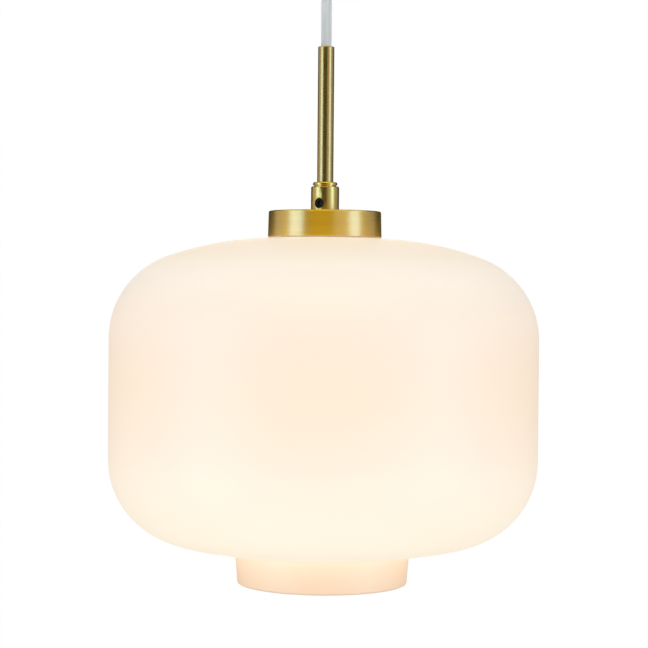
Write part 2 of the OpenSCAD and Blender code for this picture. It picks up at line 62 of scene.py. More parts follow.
def bottom(node):
    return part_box(node)[0].z / MM


def top(node):
    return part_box(node)[1].z / MM


def heights(node):
    return bottom(node), top(node)


def radius(node):
    low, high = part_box(node)
    return (high.x - low.x) / 2 / MM


def in_scene(name, data):
    obj = bpy.data.objects.new(name, data)
    scene.collection.objects.link(obj)
    return obj


# -------- camera

CAMERA_DISTANCE = 1.18
CAMERA_HEIGHT = -0.3064
CAMERA_LENS = 106.3
CAMERA_PITCH = 1.17
CAMERA_ROLL = 0.48


def make_camera():
    data = bpy.data.cameras.new("camera")
    data.lens = CAMERA_LENS
    data.sensor_width = 36
    camera = in_scene("camera", data)
    aim = turn(90 - CAMERA_PITCH, "X") @ turn(CAMERA_ROLL, "Z")
    camera.matrix_world = place(0, -CAMERA_DISTANCE, CAMERA_HEIGHT) @ aim
    scene.camera = camera


# -------- mesh helpers


def solid(name, points, faces, crease=35):
    """A mesh object from points in mm, with its seams welded and its normals outward."""
    mesh = bpy.data.meshes.new(name)
    mesh.from_pydata([Vector(p) * MM for p in points], [], faces)
    work = bmesh.new()
    work.from_mesh(mesh)
    bmesh.ops.remove_doubles(work, verts=work.verts, dist=1e-7)
    bmesh.ops.recalc_face_normals(work, faces=work.faces)
    work.to_mesh(mesh)
    work.free()
    obj = in_scene(name, mesh)
    smooth(obj, crease)
    return obj


def smooth(obj, crease=35):
    for face in obj.data.polygons:
        face.use_smooth = True
    obj.data.set_sharp_from_angle(angle=radians(crease))


def arc(x, z, r, start, end, steps):
    """Points on an arc about (x, z), between two angles in degrees."""
    angles = [radians(start + (end - start) * k / steps) for k in range(steps + 1)]
    return [(x + r * cos(a), z + r * sin(a)) for a in angles]


def rounded(corners, steps=5):
    """An outline whose corners are rounded. Each corner is (x, z, radius), or (x, z) if it stays sharp."""
    outline = []
    for i, corner in enumerate(corners):
        here = Vector(corner[:2])
        size = corner[2] if len(corner) > 2 else 0
        back = Vector(corners[i - 1][:2]) - here
        ahead = Vector(corners[(i + 1) % len(corners)][:2]) - here
        if size <= 0 or back.length < 1e-6 or ahead.length < 1e-6:
            outline.append(tuple(here))
            continue
        half = back.angle(ahead) / 2
        reach = min(size / tan(half), 0.49 * back.length, 0.49 * ahead.length)
        size = reach * tan(half)
        centre = here + (back.normalized() + ahead.normalized()).normalized() * (size / sin(half))
        start = here + back.normalized() * reach - centre
        end = here + ahead.normalized() * reach - centre
        first = atan2(start.y, start.x)
        sweep = (atan2(end.y, end.x) - first + pi) % (2 * pi) - pi
        for k in range(steps + 1):
            a = first + sweep * k / steps
            outline.append((centre.x + size * cos(a), centre.y + size * sin(a)))
    return outline


def skin(rings, closed=False):
    """The faces between rings of points, and those from the last ring to the first if it is closed."""
    count = len(rings[0])
    faces = []
    for k in range(len(rings) if closed else len(rings) - 1):
        step = ((k + 1) % len(rings) - k) * count
        for i in range(count):
            a, b = k * count + i, k * count + (i + 1) % count
            faces.append((a, b, b + step, a + step))
    return faces


def turned(name, outline, segments=128, crease=35):
    """A part turned round the z axis. The closed outline may be a function of the angle in radians."""
    rings = []
    for k in range(segments):
        angle = 2 * pi * k / segments
        points = outline(angle) if callable(outline) else outline
        rings.append([(r * cos(angle), r * sin(angle), z) for r, z in points])
    return solid(name, [p for ring in rings for p in ring], skin(rings, closed=True), crease)


def block(name, low, high, edge=0):
    """A box between two corners, whose edges may be rounded."""
    work = bmesh.new()
    size = [b - a for a, b in zip(low, high)]
    middle = [(a + b) / 2 for a, b in zip(low, high)]
    bmesh.ops.create_cube(work, size=1, matrix=Matrix.Translation(middle) @ Matrix.Diagonal((*size, 1)))
    if edge:
        edges = list(work.edges)
        bmesh.ops.bevel(work, geom=edges, offset=edge, segments=3, profile=0.5, affect="EDGES")
    points = [v.co.copy() for v in work.verts]
    faces = [[v.index for v in f.verts] for f in work.faces]
    work.free()
    return solid(name, points, faces)


def smooth_route(corners, steps):
    """A Catmull-Rom line through a few corner points."""
    route = []
    points = [Vector(p) for p in corners]
    for i in range(len(points) - 1):
        a, b = points[max(i - 1, 0)], points[i]
        c, d = points[i + 1], points[min(i + 2, len(points) - 1)]
        for k in range(steps):
            t = k / steps
            route.append(0.5 * (
                2 * b + (c - a) * t + (2 * a - 5 * b + 4 * c - d) * t * t
                + (3 * b - a - 3 * c + d) * t * t * t
            ))
    return route + [points[-1]]


def tube(name, route, radii, sides):
    """A closed round tube along a route, with a radius at each point."""
    rings = []
    across = None
    for i, here in enumerate(route):
        heading = (route[min(i + 1, len(route) - 1)] - route[max(i - 1, 0)]).normalized()
        if across is None:
            across = heading.orthogonal().normalized()
        across = (across - heading * across.dot(heading)).normalized()
        up = heading.cross(across)
        ring = [
            here + radii[i] * (across * cos(a) + up * sin(a))
            for a in (2 * pi * k / sides for k in range(sides))
        ]
        rings.append(ring)
    faces = skin(rings)
    last = (len(rings) - 1) * sides
    faces.append(tuple(reversed(range(sides))))
    faces.append(tuple(last + k for k in range(sides)))
    return solid(name, [p for ring in rings for p in ring], faces, crease=50)


def cut(obj, *tools):
    """Cuts the tools out of an object's mesh, and clears them away."""
    for tool in tools:
        change = obj.modifiers.new("change", "BOOLEAN")
        change.operation = "DIFFERENCE"
        change.solver = "EXACT"
        change.object = tool
        graph = bpy.context.evaluated_depsgraph_get()
        mesh = bpy.data.meshes.new_from_object(obj.evaluated_get(graph), depsgraph=graph)
        obj.modifiers.clear()
        obj.data = mesh
        mesh.name = obj.name
        bpy.data.objects.remove(tool)
    smooth(obj)
    return obj


def moved(obj, matrix):
    """Moves an object's mesh, by a matrix in mm."""
    scale = Matrix.Diagonal((MM, MM, MM, 1))
    obj.data.transform(scale @ matrix @ scale.inverted())
    return obj


def place(x=0, y=0, z=0):
    return Matrix.Translation((x, y, z))


def turn(angle, axis):
    return Matrix.Rotation(radians(angle), 4, axis)


def joined(name, objects):
    """Several separate solids as one piece."""
    work = bmesh.new()
    for obj in objects:
        work.from_mesh(obj.data)
    mesh = bpy.data.meshes.new(name)
    work.to_mesh(mesh)
    work.free()
    for obj in objects:
        bpy.data.objects.remove(obj)
    piece = in_scene(name, mesh)
    smooth(piece)
    return piece


SLOTS = {part["node"]: part["material_slot"] for part in frame["record"]["subparts"]}
BODIES = {node: body for body, nodes in frame["record"]["behaviour"]["bodies"].items() for node in nodes}


def stand_for(piece, node):
    """The piece stands for a CAD node: it has that node's body, slot and material."""
    piece.data.materials.clear()
    piece.data.materials.append(MATERIALS[SLOTS[node]])
    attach(piece, BODIES[node])
    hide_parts(node)
    return piece


# -------- material helpers


def linear(code):
    """A colour written as six hexadecimal digits, in linear light with an alpha of 1."""
    levels = [int(code[k:k + 2], 16) / 255 for k in (0, 2, 4)]
    light = [v / 12.92 if v <= 0.04045 else ((v + 0.055) / 1.055) ** 2.4 for v in levels]
    return (*light, 1.0)


class Shading:
    """A material's node tree, with a short way to add nodes."""

    def __init__(self, name, colour, roughness, **settings):
        self.material = bpy.data.materials.new(name)
        self.material.use_nodes = True
        self.tree = self.material.node_tree
        self.shader = self.tree.nodes["Principled BSDF"]
        self.look("Base Color", colour)
        self.look("Roughness", roughness)
        for socket, value in settings.items():
            self.look(socket.replace("_", " "), value)
        self.place = self.add("TexCoord").outputs["Object"]

    def set(self, node, socket, value):
        target = node.inputs[socket]
        if isinstance(value, bpy.types.NodeSocket):
            self.tree.links.new(value, target)
        else:
            target.default_value = linear(value) if isinstance(value, str) else value

    def look(self, socket, value):
        """Sets a socket of the surface shader. A colour is six hexadecimal digits."""
        self.set(self.shader, socket, value)

    def add(self, kind, inputs=None, **settings):
        node = self.tree.nodes.new("ShaderNode" + kind)
        for key, value in settings.items():
            setattr(node, key, value)
        for socket, value in (inputs or {}).items():
            self.set(node, socket, value)
        return node

    def maths(self, operation, *values):
        node = self.add("Math", dict(enumerate(values)), operation=operation)
        return node.outputs[0]

    def times(self, first, second):
        return self.maths("MULTIPLY", first, second)

    def noise(self, scale, detail=2.0):
        """Noise over the object, with scale in bumps a metre."""
        inputs = {"Vector": self.place, "Scale": scale, "Detail": detail, "Roughness": 0.5}
        return self.add("TexNoise", inputs).outputs["Fac"]

    def span(self, value, low, high, to_low=0.0, to_high=1.0):
        inputs = {"Value": value, "From Min": low, "From Max": high, "To Min": to_low, "To Max": to_high}
        return self.add("MapRange", inputs).outputs["Result"]

    def mix(self, factor, first, second):
        return self.add("Mix", {0: factor, 6: first, 7: second}, data_type="RGBA").outputs[2]

    def mottle(self, pattern, low, high, first, second):
        """Colours the surface from first to second as a pattern goes from low to high."""
        self.look("Base Color", self.mix(self.span(pattern, low, high), first, second))

    def ramp(self, value, stops):
        """Colours along a value, from a list of (place, colour)."""
        node = self.add("ValToRGB", {"Fac": value})
        node.color_ramp.interpolation = "B_SPLINE"
        points = node.color_ramp.elements
        while len(points) < len(stops):
            points.new(0.5)
        for point, (where, colour) in zip(points, stops):
            point.position = where
            point.color = linear(colour)
        return node.outputs["Color"]

    def around(self):
        """(distance from the z axis, height, cosine and sine of the angle) as sockets."""
        x, y, z = self.add("SeparateXYZ", {0: self.place}).outputs
        distance = self.maths("SQRT", self.maths("ADD", self.times(x, x), self.times(y, y)))
        safe = self.maths("MAXIMUM", distance, 1e-5)
        return distance, z, self.maths("DIVIDE", x, safe), self.maths("DIVIDE", y, safe)

    def lines(self, fine, coarse, along_axis=False, detail=3.0):
        """Brush lines round the z axis, or along it. fine and coarse are bumps a metre, and bumps a turn."""
        distance, height, cosine, sine = self.around()
        if along_axis:
            parts = (self.times(cosine, fine), self.times(sine, fine), self.times(height, coarse))
            last = 0.0
        else:
            parts = (self.times(distance, fine), self.times(height, fine), self.times(cosine, coarse))
            last = self.times(sine, coarse)
        space = self.add("CombineXYZ", dict(enumerate(parts))).outputs[0]
        inputs = {"Vector": space, "W": last, "Scale": 1.0, "Detail": detail, "Roughness": 0.6}
        return self.add("TexNoise", inputs, noise_dimensions="4D").outputs["Fac"]

    def bump(self, height, depth):
        """Bump from a height of 0 to 1, with its depth in mm."""
        inputs = {"Height": height, "Distance": depth * MM, "Strength": 1.0}
        self.look("Normal", self.add("Bump", inputs).outputs["Normal"])

    def brushed(self, amount, lengthwise=False):
        """Anisotropic shine, drawn out square to brush lines that run round the z axis or along it."""
        self.look("Anisotropic", amount)
        self.look("Anisotropic Rotation", 0.0 if lengthwise else 0.25)
        tangent = self.add("Tangent", direction_type="RADIAL", axis="Z")
        self.look("Tangent", tangent.outputs[0])


# -------- materials

BRASS = "efc663"
LACQUER = {"Coat_Weight": 1.0, "Coat_IOR": 2.0, "Coat_Roughness": 0.24}


def make_brushed_brass():
    """Lacquered brass with fine brush lines round the lamp's axis."""
    m = Shading("brushed_brass", BRASS, 0.5, Metallic=1.0, **{**LACQUER, "Coat_IOR": 2.3})
    lines = m.lines(7000, 2.5)
    streaks = m.lines(900, 1.2, detail=2.0)
    tone = m.mix(m.span(lines, 0.3, 0.7), "f0c426", "f8ce32")
    m.look("Base Color", m.mix(m.span(streaks, 0.35, 0.7, 0, 0.5), tone, "e8ae1e"))
    m.look("Roughness", m.span(lines, 0.25, 0.75, 0.44, 0.54))
    m.bump(lines, 0.008)
    m.brushed(0.8)
    return m.material


def make_satin_brass():
    """Lacquered brass, smooth, with the drawn tube painted darker than the turned parts as painted shade."""
    m = Shading("satin_brass", BRASS, 0.28, Metallic=1.0, **LACQUER)
    lines = m.lines(9, 10, along_axis=True, detail=2.0)
    cloud = m.noise(70, 1.0)
    distance = m.around()[0]
    # Painted shade: the drawn tube gets a darker, more olive tone than the turned parts, for the dark
    # surroundings that the smooth tube reflects.
    tube = m.mix(m.span(lines, 0.3, 0.7), "c89f3e", "d2a948")
    tone = m.mix(m.span(distance, STEM_R * MM * 1.1, STEM_R * MM * 1.15), tube, "e8c046")
    m.look("Base Color", m.mix(m.span(cloud, 0.4, 0.7, 0, 0.2), tone, "bf9640"))
    m.look("Roughness", m.span(cloud, 0.3, 0.7, 0.25, 0.3))
    m.bump(lines, 0.0006)
    m.brushed(0.3, lengthwise=True)
    return m.material


def make_bright_brass():
    m = Shading("bright_brass", "d8b867", 0.2, Metallic=1.0)
    m.look("Roughness", m.span(m.noise(900, 3.0), 0.3, 0.7, 0.14, 0.28))
    m.mottle(m.noise(350), 0.35, 0.7, "d8b867", "b99447")
    m.bump(m.lines(6000, 3), 0.006)
    return m.material


def make_metal(name, light, dark, low, high):
    """A plain metal with a mottled finish: two tones and a roughness range."""
    grain = 1200
    m = Shading(name, light, low, Metallic=1.0)
    m.mottle(m.noise(grain * 0.3), 0.35, 0.7, light, dark)
    m.look("Roughness", m.span(m.noise(grain, 3.0), 0.3, 0.7, low, high))
    m.bump(m.noise(grain * 2), 0.006)
    return m.material


def make_plastic(name, light, dark, roughness, settings):
    """Moulded plastic, with a faint cloud in its colour and a fine skin."""
    grain = 1500
    m = Shading(name, light, roughness, **settings)
    m.mottle(m.noise(90, 3.0), 0.35, 0.7, light, dark)
    m.look("Roughness", m.span(m.noise(grain), 0.3, 0.7, roughness - 0.06, roughness + 0.08))
    m.bump(m.noise(grain * 2), 0.008)
    return m.material


def make_white_flex():
    """The flex's matt sheath, with fine ridges bumped along it, and soft darker lines painted along it as
    painted shade of the grooves that its three twisted cores press into it.
    """
    m = Shading("white_flex", "eceeee", 0.5, Specular_IOR_Level=0.4)
    fold_shade = m.lines(2.5, 8, along_axis=True)
    # Painted shade: the sheath is darker along the soft lines, where its grooves would be in shade.
    m.mottle(fold_shade, 0.42, 0.68, "f0f1f2", "cdd1d3")
    m.look("Roughness", m.span(m.noise(1600), 0.3, 0.7, 0.42, 0.58))
    m.bump(m.lines(6, 90, along_axis=True), 0.05)
    return m.material


def make_earth_core():
    """Green insulation with two yellow stripes that wind round it."""
    m = Shading("core_green_yellow", "3d8f3a", 0.45)
    x, y, z = m.add("SeparateXYZ", {0: m.place}).outputs
    wave = m.maths("SINE", m.times(m.maths("ADD", m.maths("ADD", x, y), z), 1400.0))
    m.mottle(wave, 0.1, 0.25, "2f8a3c", "e3cf2a")
    m.bump(m.noise(1500), 0.01)
    return m.material


# Painted light: the glass's glow by height from the rim to the crown, with painted shade making it darker at
# the neck's rim and at the crown.
PAINTED_GLOW_STOPS = [
    (0.0, "c29e80"), (0.05, "caa88b"), (0.085, "d0b092"), (0.1, "e6d2bc"), (0.12, "f7ead8"),
    (0.19, "f1e6d4"), (0.30, "e7dacb"), (0.42, "e3d1c2"), (0.60, "e2ccb7"), (0.78, "dccbbf"),
    (0.88, "d9d1ca"), (0.94, "e7dbcc"), (1.0, "dcc9b4"),
]


def make_opal_glass():
    """Opal glass under a soft gloss coat, with the bulb's light through it painted on as a glow that follows
    the height outside.

    Its inner face glows less, because the bulb and the glass opposite light it as well."""
    m = Shading("opal_glass", "f2e7d6", 0.55, Coat_Weight=0.3, Coat_Roughness=0.42, IOR=1.45)
    low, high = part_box("glass_shade")
    height = m.around()[1]
    glow = m.ramp(m.span(height, low.z, high.z), PAINTED_GLOW_STOPS)
    glow = m.mix(m.span(m.noise(9), 0.35, 0.7, 0.0, 0.15), glow, "e3d3c5")
    from_middle = m.add("VectorMath", {0: m.place, 1: (low + high) / 2}, operation="SUBTRACT")
    normal = m.add("NewGeometry").outputs["True Normal"]
    normal = m.add("VectorTransform", {0: normal}, vector_type="NORMAL", convert_to="OBJECT")
    pair = {0: normal.outputs[0], 1: from_middle.outputs[0]}
    facing = m.add("VectorMath", pair, operation="DOT_PRODUCT").outputs["Value"]
    inside = m.maths("LESS_THAN", facing, 0.0)
    # The emission is painted light: the bulb's glow through the glass, dimmer on the inner face.
    m.look("Emission Color", m.mix(inside, glow, "857a6b"))
    m.look("Emission Strength", 1.0)
    m.bump(m.noise(14, 1.0), 0.15)
    m.material.cycles.emission_sampling = "NONE"  # so wide a glow is found without aiming at it
    return m.material


def make_bulb_diffuser():
    m = Shading("bulb_diffuser", "fbf4e6", 0.4, Emission_Color="fff0d2", Emission_Strength=1.6)
    m.mottle(m.noise(60), 0.3, 0.7, "fbf4e6", "f6ecd9")
    m.bump(m.noise(1800), 0.006)
    return m.material


def make_circuit_board():
    m = Shading("circuit_board", "1d6b3c", 0.35)
    m.mottle(m.noise(700, 0.0), 0.5, 0.52, "1d6b3c", "17572f")
    m.bump(m.noise(1200), 0.02)
    return m.material


def make_phosphor():
    m = Shading("led_phosphor", "f0cf4a", 0.25, Emission_Color="ffe9b0", Emission_Strength=2.0)
    m.mottle(m.noise(2500), 0.3, 0.7, "f0cf4a", "e0b83a")
    return m.material


# Two tones, and a roughness range
METALS = {
    "zinc_steel": ("c9ccd0", "a9adb2", 0.28, 0.42),
    "black_steel": ("2c2820", "191713", 0.3, 0.42),
    "spring_bronze": ("c98f5a", "a87246", 0.25, 0.38),
    "holder_metal": ("c4c4c4", "a8a8a8", 0.25, 0.36),
    "board_aluminium": ("e8e8e6", "d8d8d6", 0.4, 0.5),
    "bulb_cap_metal": ("cdccc8", "b4b3af", 0.25, 0.36),
}
# Two tones, a roughness, and what else the shader is set to
PLASTICS = {
    "core_brown": ("6b3a1c", "5c3017", 0.45, {}),
    "core_blue": ("2f6fd0", "2860b8", 0.45, {}),
    "white_nylon": ("ecebe5", "e2e1da", 0.5, {"Subsurface_Weight": 0.1, "Subsurface_Scale": 0.002}),
    "holder_plastic": ("e9e6dc", "dedbd0", 0.42, {}),
    "porcelain": ("f0e9db", "e6decd", 0.22, {"Coat_Weight": 0.5}),
    "silicone": ("d9d7d0", "cdcbc3", 0.6, {}),
    "bulb_plastic": ("f1efe8", "e8e6de", 0.4, {}),
    "black_glass": ("17171a", "101012", 0.2, {"Coat_Weight": 0.6}),
}


def make_materials():
    """Every material, under the name of the record's slot that it is for."""
    made = {
        "brushed_brass": make_brushed_brass(), "satin_brass": make_satin_brass(),
        "bright_brass": make_bright_brass(), "white_flex": make_white_flex(),
        "core_green_yellow": make_earth_core(), "opal_glass": make_opal_glass(),
        "bulb_diffuser": make_bulb_diffuser(), "circuit_board": make_circuit_board(),
        "led_phosphor": make_phosphor(),
    }
    made.update({name: make_metal(name, *tones) for name, tones in METALS.items()})
    made.update({name: make_plastic(name, *tones) for name, tones in PLASTICS.items()})
    return made


# -------- levels read from the frame, in mm

CORD_R = radius("cord")
GRIP_JOINT_Z = top("grip_ferrule") - 3
GRIP_MOUTH_Z = bottom("grip_ferrule")
CANOPY_R = radius("canopy")
CANOPY_Z = bottom("canopy")
STEM_R = radius("stem_tube")
STEM_TOP = top("stem_tube")
COLLAR_TOP = top("stem_collar")
COUPLER_TOP = top("coupler")
COUPLER_R = radius("coupler")
CAP_TOP = top("cap")
CAP_BOTTOM = bottom("cap")
CAP_R = radius("cap")
CROWN_Z = top("glass_shade")
RIM_Z = bottom("glass_shade")
SHADE_R = radius("glass_shade")
GAP = 0.05


# -------- cord

CORD_LEVELS = [-38, -38.5, -39.5, -50, -64, -78, -92, -106, -120, -134, -148, -160.5, -161.5, -162]


def make_cord():
    """The free flex, straight down from the grip's mouth into the stem, where the lamp pulls it taut."""
    ends = [(0.0, 1.7), (0.15, 2.3), (0.5, 2.8), (1.0, 3.1), (1.5, CORD_R)]
    levels = [(CORD_LEVELS[0] - d, r) for d, r in ends]
    levels += [(z, CORD_R) for z in CORD_LEVELS[3:-3]]
    levels += [(CORD_LEVELS[-1] + d, r) for d, r in reversed(ends)]
    piece = tube("cord_flex", [Vector((0, 0, z)) for z, _ in levels], [r for _, r in levels], sides=64)
    stand_for(piece, "cord")
    make_ferrule()


# -------- glass shade

GLASS_T = 3.5
HOLE_R = 21
CROWN_R = 30
DOME_R = 195
TOP_CORNER_R = 53.6
BOTTOM_CORNER_R = 52
SIDE_H = 73.6
BOTTOM_TURN = 84
NECK_R = 53.6
NECK_FILLET = 4
RIM_R = 52.4
RIM_ROUND = 1.2
TOP_TURN = degrees(acos((SHADE_R - TOP_CORNER_R - CROWN_R) / (DOME_R - TOP_CORNER_R)))
SIDE_TOP_Z = CROWN_Z - DOME_R + (DOME_R - TOP_CORNER_R) * sin(radians(TOP_TURN))
SIDE_BOTTOM_Z = SIDE_TOP_Z - SIDE_H
UNDER_SLOPE = radians(90 - BOTTOM_TURN)
CORNER_X = SHADE_R - BOTTOM_CORNER_R
UNDER_X = CORNER_X + BOTTOM_CORNER_R * sin(UNDER_SLOPE)
UNDER_Z = SIDE_BOTTOM_Z - BOTTOM_CORNER_R * cos(UNDER_SLOPE)
FILLET_X = NECK_R + NECK_FILLET
FILLET_Z = UNDER_Z - (UNDER_X - FILLET_X) * tan(UNDER_SLOPE) - NECK_FILLET / cos(UNDER_SLOPE)


def shade_outline(t):
    """The shade's outline t mm inside its outer face, from the crown to the neck."""
    return (
        arc(CROWN_R, CROWN_Z - DOME_R, DOME_R - t, 90, TOP_TURN, 24)
        + arc(SHADE_R - TOP_CORNER_R, SIDE_TOP_Z, TOP_CORNER_R - t, TOP_TURN, 0, 32)
        + arc(CORNER_X, SIDE_BOTTOM_Z, BOTTOM_CORNER_R - t, 0, -BOTTOM_TURN, 36)
        + arc(FILLET_X, FILLET_Z, NECK_FILLET + t, 180 - BOTTOM_TURN, 180, 14)
    )


def make_glass():
    outline = (
        arc(HOLE_R + 0.8, CROWN_Z - 0.8, 0.8, 180, 90, 4)
        + shade_outline(0)
        + arc(RIM_R - RIM_ROUND, RIM_Z + RIM_ROUND, RIM_ROUND, 0, -90, 6)
        + arc(RIM_R - GLASS_T + RIM_ROUND, RIM_Z + RIM_ROUND, RIM_ROUND, -90, -180, 6)
        + list(reversed(shade_outline(GLASS_T)))
        + arc(HOLE_R + 0.8, CROWN_Z - GLASS_T + 0.8, 0.8, 270, 180, 4)
    )
    stand_for(turned("opal_shade", outline, segments=192, crease=60), "glass_shade")


# -------- brass parts

SET_SCREW_TURN = -116
SET_SCREW_Z = CAP_TOP + 4.75
SET_HOLE_R = 2.9
SET_FACE = 7.3
SET_EDGE = 0.9


def rod(name, r, low, high, edge=0.15, segments=48):
    """A round bar up the z axis, with rounded edges."""
    return turned(name, rounded([(0, low), (r, low, edge), (r, high, edge), (0, high)]), segments)


def drill(piece, r, low, high, at):
    """Cuts a round hole between two heights on the z axis of the place at."""
    cut(piece, moved(rod("hole", r, low, high), at))


def hex_bar(name, flats, low, high):
    def outline(angle):
        r = flats / 2 / cos((angle + pi / 6) % (pi / 3) - pi / 6)
        return [(0, low), (r, low), (r, high), (0, high)]
    return turned(name, outline, segments=48)


def make_stem():
    bore = STEM_R - 0.8
    stem = turned("brass_stem", rounded([
        (bore, bottom("stem_tube"), 0.15), (STEM_R, bottom("stem_tube"), 0.2),
        (STEM_R, STEM_TOP, 0.69), (bore, STEM_TOP, 0.1),
    ], steps=7), segments=96)
    stand_for(stem, "stem_tube")
    collar = turned("brass_collar", rounded([
        (STEM_R + GAP, COUPLER_TOP), (6.7, COUPLER_TOP), (6.7, COUPLER_TOP + 0.7, 0.1),
        (radius("stem_collar"), COUPLER_TOP + 0.7, 0.3), (radius("stem_collar"), COLLAR_TOP, 0.9),
        (STEM_R + GAP, COLLAR_TOP, 0.15),
    ], steps=8), segments=128)
    stand_for(collar, "stem_collar")


def make_coupler():
    body = turned("brass_coupler", rounded([
        (STEM_R + GAP, CAP_TOP), (COUPLER_R, CAP_TOP, 0.15), (COUPLER_R, COUPLER_TOP - 0.5, 0.2),
        (COUPLER_R - 0.5, COUPLER_TOP, 0.2), (STEM_R + GAP, COUPLER_TOP, 0.15),
    ]), segments=160)
    aim = turn(SET_SCREW_TURN, "Z") @ place(z=SET_SCREW_Z) @ turn(90, "Y")
    hole = turned("hole", [
        (0, STEM_R - 1), (SET_HOLE_R, STEM_R - 1),
        *arc(SET_HOLE_R + SET_EDGE, COUPLER_R - SET_EDGE, SET_EDGE, 180, 90, 8),
        (SET_HOLE_R + SET_EDGE, COUPLER_R + 1), (0, COUPLER_R + 1),
    ], segments=64)
    stand_for(cut(body, moved(hole, aim)), "coupler")
    screw = turned("black_set_screw", rounded([
        (0, STEM_R), (2, STEM_R, 0.1), (SET_HOLE_R - GAP, STEM_R + 0.7, 0.1),
        (SET_HOLE_R - GAP, SET_FACE, 0.3), (0, SET_FACE),
    ]), segments=64)
    socket = hex_bar("socket", 3, SET_FACE - 1.3, SET_FACE + 1)
    chamfer = turned("chamfer", [
        (0, SET_FACE - 0.25), (1.5, SET_FACE - 0.25), (2, SET_FACE + 0.25), (0, SET_FACE + 0.25),
    ])
    stand_for(moved(cut(screw, socket, chamfer), aim), "set_screw")


def make_cap():
    wall = 1.2
    top_r = CAP_R - 0.4
    piece = turned("brass_cap", rounded([
        (STEM_R + GAP, CAP_TOP - wall), (top_r - wall, CAP_TOP - wall, 0.6), (CAP_R - wall, CAP_BOTTOM, 0.1),
        (CAP_R, CAP_BOTTOM, 0.3), (top_r, CAP_TOP, 1.0), (STEM_R + GAP, CAP_TOP),
    ], steps=8), segments=192)
    stand_for(piece, "cap")


SCREW_Z = -7


def make_canopy():
    inner = CANOPY_R - 1
    plate = CANOPY_Z + 1.2
    piece = turned("brass_canopy", rounded([
        (STEM_R + GAP, CANOPY_Z), (CANOPY_R, CANOPY_Z, 1.2), (CANOPY_R, 0, 0.2), (inner, 0, 0.2),
        (inner, plate, 0.6), (STEM_R + GAP, plate),
    ], steps=8), segments=192)
    for side in (-1, 1):
        drill(piece, 2 + GAP, inner - 2, inner + 3, place(z=SCREW_Z) @ turn(90 * side, "Y"))
    stand_for(piece, "canopy")


# -------- helpers for the hidden parts


def thread(r, depth, pitch, low, high, angle, steps=8):
    """Points up a screw thread at an angle in radians, whose crests stand depth out from its roots at r."""
    count = max(2, round((high - low) / pitch * steps))
    points = []
    for k in range(count + 1):
        z = low + (high - low) * k / count
        fade = min(1, min(z - low, high - z) / (0.5 * pitch))
        ridge = 0.5 + 0.5 * cos(2 * pi * z / pitch - angle)
        points.append((r + depth * ridge * fade, z))
    return points


def extruded(name, outline, low, high):
    """A flat outline in x and z, drawn out along y."""
    count = len(outline)
    points = [(x, y, z) for y in (low, high) for x, z in outline]
    faces = [tuple(range(count)), tuple(reversed(range(count, 2 * count)))]
    faces += [(k, (k + 1) % count, (k + 1) % count + count, k + count) for k in range(count)]
    return solid(name, points, faces)


def nut(name, flats, bore, low, high):
    """A hexagon nut with a corner at +x, chamfered corners and a chamfered bore."""
    edge = 0.35
    inscribed = flats / 2 * 0.98

    def outline(angle):
        r = flats / 2 / cos(angle % (pi / 3) - pi / 6)
        slope = (r - inscribed) * 0.55
        return [
            (bore + edge, low), (inscribed, low), (r, low + slope), (r, high - slope),
            (inscribed, high), (bore + edge, high), (bore, high - edge), (bore, low + edge),
        ]
    return turned(name, outline, segments=96)


def slotted_screw(name, r, length, head_r, head_h, pitch=0.5):
    """A cheese-head screw along +x, with its thread's end at x = 0."""
    depth = 0.14 * r
    crown = arc(head_r - 0.4 * head_h, length + 0.6 * head_h, 0.4 * head_h, 0, 90, 5)

    def outline(angle):
        return (
            [(0, 0)] + thread(r - depth, depth, pitch, 0, length - 0.05, angle, steps=6)
            + [(head_r - 0.1, length), (head_r, length + 0.1)] + crown + [(0, length + head_h)]
        )
    half = 0.12 * head_r
    floor = length + 0.45 * head_h
    slot = block("slot", (-half, -head_r - 1, floor), (half, head_r + 1, floor + head_h))
    return moved(cut(turned(name, outline, segments=40), slot), turn(90, "Y"))


# -------- ceiling fitting

STRIP_T = 1.5
TAB_X = CANOPY_R - 3.5
SLOT_X = 30
SLOT_L = 14
SLOT_W = 5
EARTH_X = 41
EARTH_Y = 5.5
POLE_X = (-9, 0, 9)
POLE_Z = -8
POLE_R = 2.1
POLE_SCREW_Y = 4.5
CORE_R = 1.05
M10_R = 4.95
M10_PITCH = 1
NUT_FLATS = 14
GRIP_R = 7.5
GRIP_BORE = CORD_R + 0.1
GRIP_SOCKET_R = 5.2
GRIP_THREAD_R = 6.2
GRIP_SCREW_Z = CANOPY_Z - 5


def make_bracket():
    """A bent steel strip with a slot for each ceiling screw and a hole in each tab."""
    low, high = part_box("ceiling_bracket")
    half, tab_z = high.y / MM, low.z / MM
    inner = TAB_X - STRIP_T
    strip = extruded("steel_bracket", rounded([
        (-TAB_X, 0, 2), (TAB_X, 0, 2), (TAB_X, tab_z, 0.3), (inner, tab_z, 0.3), (inner, -STRIP_T, 0.6),
        (-inner, -STRIP_T, 0.6), (-inner, tab_z, 0.3), (-TAB_X, tab_z, 0.3),
    ]), -half, half)
    reach = (SLOT_L - SLOT_W) / 2
    ends = arc(reach, 0, SLOT_W / 2, -90, 90, 12) + arc(-reach, 0, SLOT_W / 2, 90, 270, 12)
    for side in (-1, 1):
        cut(strip, moved(extruded("slot", ends, -2, 2), place(x=SLOT_X * side) @ turn(90, "X")))
        drill(strip, 2 + GAP, inner - 1, TAB_X + 1, place(z=SCREW_Z) @ turn(90 * side, "Y"))
    drill(strip, 1.5 + GAP, -2, 1, place(EARTH_X, EARTH_Y))
    stand_for(strip, "ceiling_bracket")


